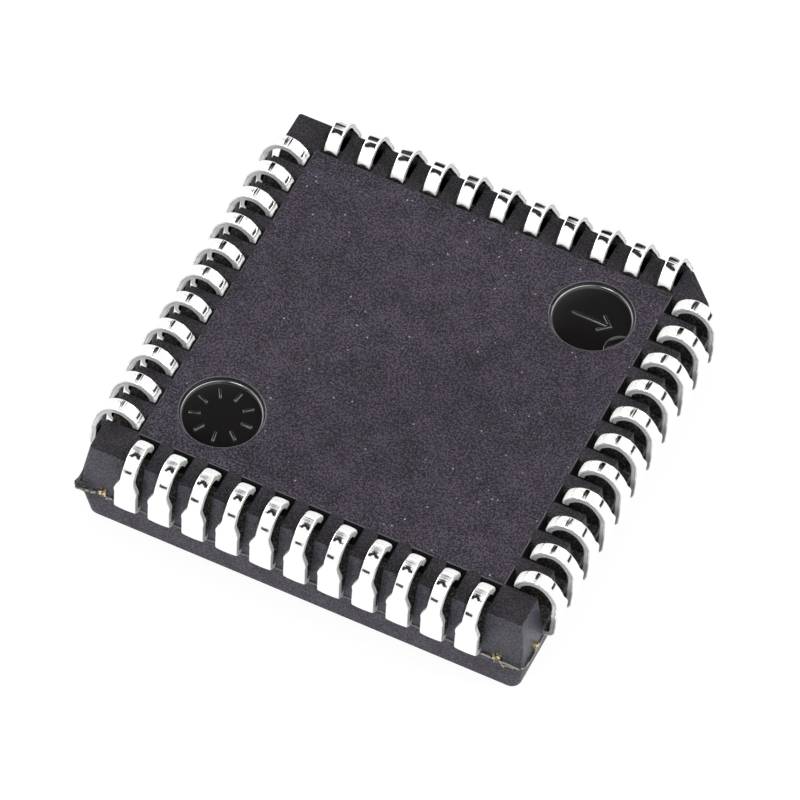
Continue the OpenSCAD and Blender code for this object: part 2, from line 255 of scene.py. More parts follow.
# %% [markdown]
# ## Tin plate, and the sheared edge
#
# The leads are stamped from copper alloy strip and plated with tin. The broad faces stay bright and mirror
# the studio, except near the tip, where the forming tool scuffed them. A metal that mirrors its surroundings
# needs hardly any colour of its own. The lead meshes carry values for the shaders: depth, 0 at the outer
# face and 1 at the inner one; scuff, 1 at the tip; crest, 1 at the top, where the tool left ripples; foot,
# 1 near the body, where the inner faces are painted dark as painted shade; and run, the distance along the
# strip in millimetres.

# %% Tin plate
tin, tree, shader = new_material("bright tin plate on copper alloy")
place = add(tree, "ShaderNodeTexCoord").outputs["Object"]
carried = {}
for name in ("depth", "scuff", "crest", "foot", "run"):
    carried[name] = add(tree, "ShaderNodeAttribute", attribute_name=name).outputs["Fac"]

waves = add(tree, "ShaderNodeTexNoise", {
    "Vector": place, "Scale": 1 / (0.25 * MM), "Detail": 2.0,
}).outputs["Fac"]
wavy = add(tree, "ShaderNodeBump", {"Height": waves, "Strength": 0.12, "Distance": 0.02 * MM}).outputs[0]
ripple = add(tree, "ShaderNodeTexNoise", {
    "W": carried["run"], "Scale": 1 / 0.12, "Detail": 1.0,
}, noise_dimensions="1D").outputs["Fac"]
ripple = add(tree, "ShaderNodeMath", {0: ripple, 1: carried["crest"]}, operation="MULTIPLY").outputs[0]
bump = add(tree, "ShaderNodeBump", {
    "Height": ripple, "Strength": 0.8, "Distance": 0.020 * MM, "Normal": wavy,
}).outputs[0]
rough = add(tree, "ShaderNodeMapRange", {"Value": carried["scuff"], "To Min": 0.08, "To Max": 0.6}).outputs[0]
metal = add(tree, "ShaderNodeMapRange", {"Value": carried["scuff"], "To Min": 1.0, "To Max": 0.25}).outputs[0]
# Painted shade: the inner faces near the body turn dark olive.
shaded_foot = add(tree, "ShaderNodeMath", {0: carried["depth"], 1: 0.8}, operation="GREATER_THAN").outputs[0]
shaded_foot = add(tree, "ShaderNodeMath", {0: shaded_foot, 1: carried["foot"]}, operation="MULTIPLY").outputs[0]
colour = add(tree, "ShaderNodeMix", {
    0: shaded_foot, 6: linear("#fdfdfc"), 7: linear("#2c2a24"),
}, data_type="RGBA").outputs[2]
for name, socket in (("Base Color", colour), ("Metallic", metal), ("Roughness", rough), ("Normal", bump)):
    tree.links.new(socket, shader.inputs[name])
print("material:", tin.name)

# %% [markdown]
# The punch leaves each side face of a lead in two bands: a burnished one where it cut, then a dull one where
# the metal tore. A colour ramp over the depth draws both, with a thin dark line between them, and noise makes
# that line wander. One more value says where the inner part of the band is darkened as painted shade near
# the body.

# %% Sheared edge
sheared, tree, shader = new_material("tin plate over a sheared edge")
place = add(tree, "ShaderNodeTexCoord").outputs["Object"]
depth = add(tree, "ShaderNodeAttribute", attribute_name="depth").outputs["Fac"]
painted_patch = add(tree, "ShaderNodeAttribute", attribute_name="painted_patch").outputs["Fac"]
waves = add(tree, "ShaderNodeTexNoise", {
    "Vector": place, "Scale": 1 / (0.12 * MM), "Detail": 3.0,
}).outputs["Fac"]
edge = add(tree, "ShaderNodeMath", {0: waves, 1: 0.35, 2: depth}, operation="MULTIPLY_ADD").outputs[0]
band = add(tree, "ShaderNodeValToRGB", {"Fac": edge})
first, last = band.color_ramp.elements
first.position, first.color = 0.45, linear("#f4f4f3")
last.position, last.color = 1.0, linear("#d0d0d2")
for spot, code in ((0.58, "#efefee"), (0.66, "#8c8c90"), (0.76, "#dcdcdd")):
    band.color_ramp.elements.new(spot).color = linear(code)

patchy = add(tree, "ShaderNodeMapRange", {"Value": waves, "From Min": 0.35, "From Max": 0.65}).outputs[0]
# Painted shade: a dark, patchy colour over the inner part of the side band near the body.
side_shade = add(tree, "ShaderNodeMix", {
    0: patchy, 6: linear("#1d1c19"), 7: linear("#4c4b46"),
}, data_type="RGBA").outputs[2]
side_shaded = add(tree, "ShaderNodeMapRange", {"Value": edge, "From Min": 0.36, "From Max": 0.50}).outputs[0]
side_shaded = add(tree, "ShaderNodeMath", {0: side_shaded, 1: painted_patch}, operation="MULTIPLY").outputs[0]
colour = add(tree, "ShaderNodeMix", {
    0: side_shaded, 6: band.outputs["Color"], 7: side_shade,
}, data_type="RGBA").outputs[2]
bump = add(tree, "ShaderNodeBump", {"Height": waves, "Strength": 0.5, "Distance": 0.02 * MM}).outputs[0]
tree.links.new(colour, shader.inputs["Base Color"])
tree.links.new(bump, shader.inputs["Normal"])
shader.inputs["Metallic"].default_value = 0.4
shader.inputs["Roughness"].default_value = 0.5
print("material:", sheared.name)

# %% [markdown]
# ## What lies inside
#
# The die paddle is bare copper alloy and shows only where its tie bars were cut off, at the walls near the
# corners. The die, its adhesive and the gold wires are sealed in the plastic. They keep their CAD meshes
# and get plain finishes, for anyone who opens the part up.

# %% Inner materials
copper, tree, shader = new_material("copper alloy, sheared, with painted highlights")
place = add(tree, "ShaderNodeTexCoord").outputs["Object"]
painted_patch = add(tree, "ShaderNodeTexNoise", {
    "Vector": place, "Scale": 1 / (0.10 * MM), "Detail": 3.0,
}).outputs["Fac"]
# Noise patches from dark copper to near-white: partly the metal's own colour, partly painted highlights.
copper_and_highlights = add(tree, "ShaderNodeValToRGB", {"Fac": painted_patch})
first, last = copper_and_highlights.color_ramp.elements
first.position, first.color = 0.40, linear("#2a2418")
last.position, last.color = 0.66, linear("#efe7cf")
copper_and_highlights.color_ramp.elements.new(0.50).color = linear("#a48b56")
tree.links.new(copper_and_highlights.outputs["Color"], shader.inputs["Base Color"])
shader.inputs["Metallic"].default_value = 0.8
shader.inputs["Roughness"].default_value = 0.35

inside = {
    "die_paddle": copper,
    "die_attach": simple("silver-filled adhesive, cured", "#a9a9a5", 0.3, 0.6),
    "die": simple("silicon, polished wafer", "#4a4c55", 0.6, 0.12),
    "bond_wires": simple("gold wire, drawn", "#e6b650", 1.0, 0.2),
}
for node, material in inside.items():
    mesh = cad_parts[node].data
    mesh.materials.clear()
    mesh.materials.append(material)
print("inner pieces finished:", ", ".join(inside))

# %% [markdown]
# ## The moulded body
#
# A mould has two halves, so the body is a stack of outlines: the marking face, the parting line and the
# lead-side face, each a square with rounded corners and one chamfered corner. The walls between them lean,
# or the body would stick in the tool. Each side of the upper half has a row of slots for the lead tips.
# The wall with its slots is drawn as one flat face with notches. The top is split along the diagonal
# through both round recesses, because a face can have notches but no holes.

# %% Body sizes and outlines
PITCH, STEPS = 1.27, range(-5, 6)
LEAN = math.tan(math.radians(8.6))
BODY_HALF = 8.33
FACE_HALF = BODY_HALF - LEAN * (TOP - PARTING)
MARK_HALF = BODY_HALF - LEAN * PARTING
SLOT_IN, SLOT_WIDE = 6.81, 0.78
SLOT_FLOOR, SLOT_MOUTH = TOP - 1.25, 2.13
RECESS, RECESS_R, RECESS_DEEP = 4.71, 1.47, 0.23


def turned(side, along, out, z):
    """A point given along a side and outwards from the centre; side 0 is the back, then clockwise."""
    c, s = ((1, 0), (0, 1), (-1, 0), (0, -1))[side]
    return Vector((along * c + out * s, -along * s + out * c, z))


def corner_points(side, half, radius, chamfer, z, count=8):
    """The outline round the corner at the far end of a side."""
    if side == 0:
        plan = [(half - chamfer, half), (half - chamfer / 2, half - chamfer / 2), (half, half - chamfer)]
    else:
        turns = [math.radians(90 - 90 * i / count) for i in range(count + 1)]
        middle = half - radius
        plan = [(middle + radius * math.cos(a), middle + radius * math.sin(a)) for a in turns]
    return [turned(side, along, out, z) for along, out in plan]


def outline(bm, half, radius, chamfer, z):
    """The vertices of one outline, corner by corner."""
    return [[bm.verts.new(p) for p in corner_points(side, half, radius, chamfer, z)] for side in range(4)]


print(f"lead-side face {2 * FACE_HALF:.2f} mm, parting line {2 * BODY_HALF:.2f} mm")

# %% [markdown]
# The slots' floors slope down and outwards. Where a floor meets the leaning wall is the crossing of two
# lines, so it is worked out instead of guessed. All edges that a finger could touch are kept in a list, and
# rounded together at the end.

# %% Body: walls, slots and top
body = bmesh.new()
top = outline(body, FACE_HALF, 0.10, 1.01, TOP)
parting = outline(body, BODY_HALF, 0.16, 1.21, PARTING)

fall = (SLOT_MOUTH - SLOT_FLOOR) / (BODY_HALF - SLOT_IN)
mouth_z = (SLOT_FLOOR + fall * (BODY_HALF + LEAN * PARTING - SLOT_IN)) / (1 + fall * LEAN)
mouth_out = BODY_HALF - LEAN * (mouth_z - PARTING)
rims = []
edge_of_top = []
for side in range(4):
    wall_top, side_edge = [], []
    for step in STEPS:
        at = {}
        for name, along in (("l", step * PITCH - SLOT_WIDE / 2), ("r", step * PITCH + SLOT_WIDE / 2)):
            at[name + "_rim"] = body.verts.new(turned(side, along, FACE_HALF, TOP))
            at[name + "_mouth"] = body.verts.new(turned(side, along, mouth_out, mouth_z))
            at[name + "_in"] = body.verts.new(turned(side, along, SLOT_IN, TOP))
            at[name + "_floor"] = body.verts.new(turned(side, along, SLOT_IN, SLOT_FLOOR))
        # The slot's inner wall is near-black, partly as painted shade.
        pocket = [(["l_in", "r_in", "r_floor", "l_floor"], SHADED_WALL),
                  (["l_floor", "r_floor", "r_mouth", "l_mouth"], SLOT)]
        pocket += [([name + end for end in ("_rim", "_in", "_floor", "_mouth")], SLOT) for name in "lr"]
        for names, skin in pocket:
            body.faces.new([at[name] for name in names]).material_index = skin
        for name in "lr":
            rims.append((at[name + "_rim"], at[name + "_mouth"]))
        wall_top += [at["l_rim"], at["l_mouth"], at["r_mouth"], at["r_rim"]]
        side_edge += [at["l_rim"], at["l_in"], at["r_in"], at["r_rim"]]
    start, end = parting[side - 1][-1], parting[side][0]
    body.faces.new([start, top[side - 1][-1]] + wall_top + [top[side][0], end])
    for a, b, c, d in zip(top[side], top[side][1:], parting[side][1:], parting[side]):
        body.faces.new([a, b, c, d])
    edge_of_top.append(side_edge + top[side])

# The recess rims, with a vertex on the diagonal at each end
ROUND = 96
SPOTS = {"back": Vector((RECESS, RECESS, 0)), "front": Vector((-RECESS, -RECESS, 0))}


def circle(bm, centre, radius, z):
    """A ring of vertices; its first one lies on the diagonal."""
    angles = [math.radians(45 + 360 * i / ROUND) for i in range(ROUND)]
    plan = [(centre.x + radius * math.cos(a), centre.y + radius * math.sin(a)) for a in angles]
    return [bm.verts.new((x, y, z)) for x, y in plan]


circles = {name: circle(body, centre, RECESS_R, TOP) for name, centre in SPOTS.items()}
half = ROUND // 2
first = {name: ring[:half + 1] for name, ring in circles.items()}
second = {name: ring[half:] + ring[:1] for name, ring in circles.items()}
whole = [v for side_edge in edge_of_top for v in side_edge]
i = whole.index(top[2][len(top[2]) // 2])
whole = whole[i:] + whole[:i]
j = whole.index(top[0][1])
body.faces.new(whole[:j + 1] + first["back"] + first["front"])
body.faces.new(whole[j:] + whole[:1] + second["front"] + second["back"])
rims += list(zip(whole, whole[1:] + whole[:1]))
for ring in circles.values():
    rims += list(zip(ring, ring[1:] + ring[:1]))
print("slots:", 4 * len(STEPS), " faces:", len(body.faces))

# %% [markdown]
# Below the parting line the resting half is a plain stack of outlines, closed by the marking face. Its
# corners are rounder than those of the upper half, and it has a round dimple next to lead 1. The recess
# floors go in next. Then the bevel operator rounds the rims, and puts a wide fillet round each recess floor,
# which shows as a bright crescent. Rims away from the outer walls get the shiny rim finish, painted pale as a
# highlight line.

# %% Body: resting half, recess floors, rounded edges
def bridge(bm, ring_a, ring_b, material=0):
    """Quads between two closed rings of the same length."""
    made = []
    for i in range(len(ring_a)):
        face = bm.faces.new([ring_a[i - 1], ring_a[i], ring_b[i], ring_b[i - 1]])
        face.material_index = material
        made.append(face)
    return made


lower = outline(body, BODY_HALF, 0.28, 1.21, PARTING - 0.03)
marking = outline(body, MARK_HALF, 0.36, 1.11, 0.0)
rings = [[v for corner in stack for v in corner] for stack in (parting, lower, marking)]
for a, b in zip(rings, rings[1:]):
    bridge(body, a, b)
bottom = list(zip(rings[2], rings[2][1:] + rings[2][:1]))

dimple, pit = (circle(body, Vector((0, 5.60, 0)), radius, z) for radius, z in ((0.50, 0.0), (0.46, 0.10)))
start = rings[2].index(marking[3][4])
whole = rings[2][start:] + rings[2][:start]
cut = whole.index(marking[1][4])
body.faces.new(whole[:cut + 1] + dimple[72:] + dimple[:25])
body.faces.new(whole[cut:] + whole[:1] + dimple[24:73])
bridge(body, dimple, pit)
body.faces.new(pit)

hollow = []
floor_z = TOP - RECESS_DEEP
for name, centre in SPOTS.items():
    level = circle(body, centre, RECESS_R, floor_z)
    # The recess walls are near-black, partly as painted shade.
    bridge(body, circles[name], level, SHADED_WALL)
    body.faces.new(level).material_index = POLISHED
    hollow += list(zip(level, level[1:] + level[:1]))

bmesh.ops.recalc_face_normals(body, faces=body.faces)


def edges_between(bm, pairs):
    return [bm.edges.get(pair) for pair in pairs if bm.edges.get(pair)]


soft = {"offset_type": "OFFSET", "profile": 0.5, "affect": "EDGES", "clamp_overlap": True, "material": -1}
rounding = ((rims, 0.030, 2, RIM_SHEEN), (hollow, 0.13, 6, POLISHED), (bottom, 0.12, 4, EPOXY))
for pairs, size, segments, skin in rounding:
    edges = edges_between(body, pairs)
    bmesh.ops.bevel(body, geom=edges, offset=size, segments=segments, **{**soft, "material": skin})
for face in body.faces:
    if face.material_index == RIM_SHEEN and max(abs(c) for c in face.calc_center_median().xy) > SLOT_IN + 0.03:
        face.material_index = EPOXY
print("body vertices:", len(body.verts))

# %% [markdown]
# The flash line is resin that crept between the mould halves: a thin ragged lip all round. It is drawn as
# a list of points on the parting line, each with its outward direction, so that it can follow the corners.

# %% Body: flash line
CHAMFER, CORNER = 1.21, 0.20
random.seed(44)
line = []
for side in range(4):
    start = -BODY_HALF + (CHAMFER if side == 1 else CORNER)
    end = BODY_HALF - (CHAMFER if side == 0 else CORNER)
    for i in range(61):
        line.append((turned(side, start + (end - start) * i / 60, BODY_HALF, 0), turned(side, 0, 1, 0)))
    for t in (0.25, 0.5, 0.75):
        if side == 0:
            point = turned(0, end + CHAMFER * t, BODY_HALF - CHAMFER * t, 0)
            way = turned(0, 1, 1, 0).normalized()
        else:
            along, out = math.sin(t * math.pi / 2), math.cos(t * math.pi / 2)
            point = turned(side, end + CORNER * along, BODY_HALF - CORNER + CORNER * out, 0)
            way = turned(side, along, out, 0)
        line.append((point, way))
reach = [random.uniform(0.020, 0.046) for _ in line]

# The lip's section: how far out from the wall, whether the reach is added, and the height from the parting line
lip = ((-0.15, 0, -0.09), (-0.01, 1, -0.09), (0, 1, -0.07), (0, 1, -0.02), (-0.02, 1, 0), (-0.15, 0, 0))
levels = []
for out, share, z in lip:
    rise = Vector((0, 0, PARTING + z))
    levels.append([body.verts.new(p + way * (out + share * r) + rise) for (p, way), r in zip(line, reach)])
for a, b in zip(levels, levels[1:] + levels[:1]):
    bridge(body, a, b, POLISHED)
print("points on the flash line:", len(line))

# %% [markdown]
# At the corner opposite the chamfer the gate was broken off, which left a torn wedge and a small tongue.
# A few crumbs of flash stick to the walls near the front corners. Broken plastic has flat facets and sharp
# edges, so the convex hull operator round a few points makes such lumps quickly.

# %% Body: gate and crumbs
def hull(bm, points, material):
    """The convex lump round some points."""
    verts = [bm.verts.new(p) for p in points]
    made = bmesh.ops.convex_hull(bm, input=verts)
    for face in (g for g in made["geom"] if isinstance(g, bmesh.types.BMFace)):
        face.material_index = material
    spare = {g for g in made["geom_interior"] if isinstance(g, bmesh.types.BMVert)}
    bmesh.ops.delete(bm, geom=list(spare), context="VERTS")


def plate(bm, points, low, high, material=0, soften=0.0, segments=2):
    """A flat plate of any outline between two heights."""
    face = bm.faces.new([bm.verts.new((x, y, low)) for x, y in points])
    made = bmesh.ops.extrude_face_region(bm, geom=[face])["geom"]
    raised = [g for g in made if isinstance(g, bmesh.types.BMVert)]
    bmesh.ops.translate(bm, verts=raised, vec=(0, 0, high - low))
    for f in {f for v in raised for f in v.link_faces} | {face}:
        f.material_index = material
    if soften:
        edges = list({e for v in raised for e in v.link_edges})
        bmesh.ops.bevel(bm, geom=edges, offset=soften, segments=segments, **soft)


hull(body, [(-8.18, -8.18, 2.50), (-8.28, -8.20, 2.02), (-8.20, -8.28, 2.02),
            (-8.41, -8.25, PARTING), (-8.25, -8.41, PARTING), (-8.00, -8.00, PARTING)], TORN)
hull(body, [(-7.60, -8.31, PARTING), (-7.85, -8.37, PARTING), (-8.12, -8.40, PARTING),
            (-8.34, -8.42, PARTING), (-8.44, -8.27, PARTING), (-8.40, -8.08, PARTING),
            (-8.32, -7.95, PARTING), (-7.90, -8.30, 1.93), (-8.22, -8.32, 1.99),
            (-8.32, -8.22, 1.99), (-8.30, -8.00, 1.90), (-7.95, -7.95, PARTING)], TORN)
tongue = [(-7.56, -8.25), (-7.58, -8.37), (-7.70, -8.41), (-7.86, -8.39), (-8.06, -8.45),
          (-8.20, -8.43), (-8.33, -8.46), (-8.40, -8.36), (-8.47, -8.28), (-8.44, -8.16),
          (-8.41, -8.04), (-8.38, -7.90), (-8.25, -7.86)]
plate(body, tongue, PARTING - 0.13, PARTING + 0.02, TORN, 0.02)
crumbs = [(-7.62, -8.40, 1.77, 0.05), (-7.72, -8.42, 1.75, 0.04), (-7.06, -8.38, 1.74, 0.06),
          (-7.16, -8.40, 1.72, 0.05), (7.30, -8.40, 1.66, 0.04)]
for x, y, z, size in crumbs:
    lump = [Vector((x, y, z)) + Vector([random.uniform(-1, 1) for _ in range(3)]) * size for _ in range(9)]
    hull(body, lump, RESIN)
print("crumbs of flash:", len(crumbs))

# %% [markdown]
# Threads of flash hang along the parting line at both front corners, and a low dark lump with the torn
# finish lies along the foot of the wall at the right one. A thread is only a few short bars from point to
# point, since it is thinner than a pixel or two.

# %% Body: threads of flash
def strand(bm, points, thick, material):
    """A thread of flash through some points: short square bars, end to end."""
    for a, b in zip(points, points[1:]):
        a, b = Vector(a), Vector(b)
        side = Vector((0, -1, 0)).cross(b - a).normalized() * thick / 2
        deep = Vector((0, thick / 2, 0))
        hull(bm, [q + u * side + v * deep for q in (a, b) for u in (-1, 1) for v in (-1, 1)], material)


threads = [
    (0.045, [(-8.36, -8.44, 1.66), (-8.25, -8.455, 1.66)]),
    (0.045, [(-8.20, -8.455, 1.68), (-8.03, -8.47, 1.70)]),
    (0.045, [(-7.98, -8.45, 1.72), (-7.84, -8.42, 1.74)]),
    (0.045, [(-7.78, -8.42, 1.70), (-7.60, -8.41, 1.77)]),
    (0.035, [(7.46, -8.375, 1.76), (7.56, -8.37, 1.62), (7.64, -8.35, 1.44)]),
    (0.040, [(7.48, -8.385, 1.74), (7.74, -8.38, 1.76), (8.00, -8.385, 1.74), (8.20, -8.38, 1.72)]),
    (0.030, [(7.60, -8.36, 1.56), (7.80, -8.37, 1.63), (8.02, -8.375, 1.66)]),
    (0.040, [(6.80, -8.38, 1.75), (7.00, -8.38, 1.77), (7.16, -8.38, 1.75)]),
]
for thick, points in threads:
    strand(body, points, thick, RESIN)
for x, y in ((8.375, -8.12), (8.38, -7.95)):
    bar = [(x + u * 0.018, y + v, 1.705 + w * 0.03) for u in (-1, 1) for v in (0, 0.9) for w in (-1, 1)]
    hull(body, bar, RESIN)
# A low dark lump with the torn finish along the foot of the right front wall.
hull(body, [(7.52, -8.36, 1.74), (8.27, -8.36, 1.74), (8.22, -8.30, 1.92), (7.95, -8.31, 1.86),
            (7.58, -8.315, 1.83), (7.52, -8.28, 1.74), (8.27, -8.28, 1.74)], TORN)
print("threads of flash:", len(threads))

# %% [markdown]
# The ejector pins were engraved, so the recess floors carry raised marks: a dial of ticks in one, an arrow in
# the other. Each is a plate with a soft upper edge, which catches a thin line of light. A second strike of the
# pin left a lens of resin against the wall of the back recess. All of these are shells in the body's mesh.

# %% Body: recess marks
TICKS, TICK_R, TICK_LONG, TICK_WIDE = 9, 0.93, 0.42, 0.11
MARK = (floor_z - 0.02, floor_z + 0.07, POLISHED, 0.03, 3)
dial = SPOTS["front"].xy
for tick in range(TICKS):
    angle = math.radians(360 / TICKS * tick)
    out = Vector((math.cos(angle), math.sin(angle)))
    across = Vector((-out.y, out.x))
    corners = [dial + out * (TICK_R + a * TICK_LONG / 2) + across * (b * TICK_WIDE / 2)
               for a, b in ((-1, -1), (1, -1), (1, 1), (-1, 1))]
    plate(body, corners, *MARK)
arrow = [(-0.75, -0.055), (0.55, -0.055), (0.27, -0.30), (0.35, -0.385), (0.78, 0.0),
         (0.35, 0.385), (0.27, 0.30), (0.55, 0.055), (-0.75, 0.055)]
plate(body, [(RECESS + x, RECESS + y) for x, y in arrow], *MARK)

LENS_X, LENS_Y, LENS_R, LENS_WALL = 1.43, -0.74, 0.606, 1.45
near = [math.radians(a) for a in range(89, 217, 8)]
far = [math.radians(a) for a in range(-49, -4, 5)]
lens = [(LENS_X + LENS_R * math.cos(a), LENS_Y + LENS_R * math.sin(a)) for a in near]
lens += [(LENS_WALL * math.cos(a), LENS_WALL * math.sin(a)) for a in far]
plate(body, [(RECESS + x, RECESS + y) for x, y in lens], floor_z - 0.02, floor_z + 0.05, POLISHED, 0.02)

body_piece = make_piece(body, "moulded_body", skins, ["body"])
print("body polygons:", len(body_piece.data.polygons))

# %% [markdown]
# ## The leads
#
# A real lead is stamped flat and then bent, and the model is made the same way. First comes a flat strip:
# one cross-section, extruded station by station, with rounded corners on the side where the punch entered.
# Its width changes along the way: finger, wide shoulder, narrow crest. Then every vertex is carried to
# the bent line: distance along the strip picks the place and the direction, and depth in the strip is
# measured inwards from the outer face, so the thickness stays true through every bend.

# %% Lead shape
THICK, WIDE, NARROW, FINGER = 0.25, 0.80, 0.48, 0.34
LEG_R, BEND = 8.76, 0.40
BEND_R, BEND_Z = LEG_R - BEND, PARTING + BEND
CREST, TURN = 0.755, math.radians(45)
CREST_R, CREST_Z = LEG_R - 0.98, TOP + 0.535 - CREST
ARC = (0.98 - CREST * math.cos(TURN)) / (1 - math.cos(TURN))
ARC_R, ARC_Z = LEG_R - ARC, CREST_Z - (ARC - CREST) * math.sin(TURN)
FLAT, FLAT_TURN = 1.10, math.radians(122)
FLAT_R = CREST_R + (CREST - FLAT) * math.cos(FLAT_TURN)
FLAT_Z = CREST_Z + (CREST - FLAT) * math.sin(FLAT_TURN)
CURL, CURL_TURN = 0.50, math.radians(142)
CURL_R = FLAT_R + (FLAT - CURL) * math.cos(CURL_TURN)
CURL_Z = FLAT_Z + (FLAT - CURL) * math.sin(CURL_TURN)
TIP_Z = TOP - 0.16
FINGER_TIP, FINGER_END = 4.20, 0.60
ROOT_R = BODY_HALF - 0.45

# Each stretch: its length, where its outer face starts or its arc's middle, the angle of its face at the
# start, and its radius, 0 where it is straight
stretches = [
    (BEND_R - FINGER_TIP, (FINGER_TIP, PARTING), -math.pi / 2, 0),
    (BEND * math.pi / 2, (BEND_R, BEND_Z), -math.pi / 2, BEND),
    (ARC_Z - BEND_Z, (LEG_R, BEND_Z), 0, 0),
    (ARC * TURN, (ARC_R, ARC_Z), 0, ARC),
    (CREST * (FLAT_TURN - TURN), (CREST_R, CREST_Z), TURN, CREST),
    (FLAT * (CURL_TURN - FLAT_TURN), (FLAT_R, FLAT_Z), FLAT_TURN, FLAT),
    (CURL * (math.pi - math.asin((TIP_Z - CURL_Z) / CURL) - CURL_TURN), (CURL_R, CURL_Z), CURL_TURN, CURL),
]


def bent(s, depth):
    """Outward distance and height of a point s along the strip and depth below its outer face."""
    for length, (r, z), angle, radius in stretches:
        if s <= length + 1e-9:
            break
        s -= length
    if radius:
        angle += s / radius
        return r + (radius - depth) * math.cos(angle), z + (radius - depth) * math.sin(angle)
    forward = angle + math.pi / 2
    return (r + s * math.cos(forward) - depth * math.cos(angle),
            z + s * math.sin(forward) - depth * math.sin(angle))


starts = [sum(part[0] for part in stretches[:i]) for i in range(len(stretches) + 1)]
print("strip length:", round(starts[-1], 3), "mm")

# %% [markdown]
# The stations lie close together where the strip will bend, so that the arcs come out smooth. The section
# is slightly crowned in the middle and rolls off at both edges, as sheet metal does under a punch. That is
# why a dark card in the studio shows on a lead as a short dash that stops before the edges. Where the dam
# bar between the leads was cut away, a small step is left on both sides.

# %% Lead stations and section
def spread(a, b, count):
    return [a + (b - a) * i / count for i in range(count)]


def smooth(x):
    x = min(max(x, 0.0), 1.0)
    return x * x * (3 - 2 * x)


root_s = ROOT_R - FINGER_TIP
dam = [starts[2] + 2.87 - BEND_Z, starts[3] + ARC * math.asin((3.06 - ARC_Z) / ARC)]
stations = [0.0, FINGER_END / 2, FINGER_END, FINGER_END + 0.02] + spread(root_s - 0.42, root_s - 0.01, 2)
stations += [root_s - 0.005, root_s + 0.005] + spread(root_s + 0.2, starts[1], 2)
stations += spread(starts[1], starts[2], 14) + spread(starts[2], starts[3], 8)
stations += spread(starts[3], starts[4], 22) + spread(starts[4], starts[-1], 50) + [starts[-1]]
stations = sorted(stations + [dam[0] - 0.012, dam[0] + 0.012, dam[1] - 0.012, dam[1] + 0.012])

ROLL_WIDE, ROLL_DEEP, BURR = 0.055, 0.035, 0.010


def section(crown):
    """Half a section: distance in from the edge, and depth."""
    turns = [math.pi / 2 * i / 6 for i in range(7)]
    points = [(ROLL_WIDE * (1 - math.sin(a)), crown + ROLL_DEEP * (1 - math.cos(a))) for a in turns]
    deep = crown + ROLL_DEEP
    return points + [(0, deep + (THICK - BURR - deep) * i / 3) for i in (1, 2, 3)] + [(BURR, THICK)]


def half_width(s):
    """Half the strip's width at a distance along it."""
    if s < root_s:
        return FINGER / 2
    if s < starts[2]:
        return WIDE / 2
    step = 0.018 if dam[0] < s < dam[1] else 0.0
    taper = smooth((bent(s, 0)[1] - (TOP - 0.66)) / 0.46) if s < starts[4] else 1.0
    return (WIDE + (NARROW - WIDE) * taper) / 2 + step


print("stations:", len(stations), " points round a section:", 2 * len(section(0)) + 6)

# %% [markdown]
# One function makes a lead from its place in the row. The tip's end was sheared with a hollow punch, so its
# middle is pulled back in a shallow curve. Inside the body the finger slants towards the die. No two leads
# are bent quite alike, so each one also sways and twists by a hair, from a fixed seed. Each row was bent in a
# stroke of its own, so the rows differ in lean, in crown, in how far the tip is scuffed, and in how strong the
# ripples are. The rows also get different amounts of painted shade on the inner faces and the sides near the
# body. These lists go round from the back row clockwise, in millimetres or as shares.

# %% Make the leads
LEANS = (0.0, 0.05, 0.0, -0.09)
CROWNS = (0.005, 0.013, 0.015, 0.013)
FOOT_SHADES = (1.0, 0.6, 0.15, 1.0)
SIDE_SHADES = (1.0, 0.6, 0.15, 0.0)
SCUFFS = (0.50, 0.68, 0.88, 0.34)
RIPPLES = (0.5, 1.0, 1.0, 1.0)
RUBS = (0.0, 0.0, 0.35, 0.0)
FINGER_PITCH = 0.70
HOLLOW, HOLLOW_LONG = 0.15, 0.24
SHADE_TOP, SHADE_LONG = 3.15, 0.6


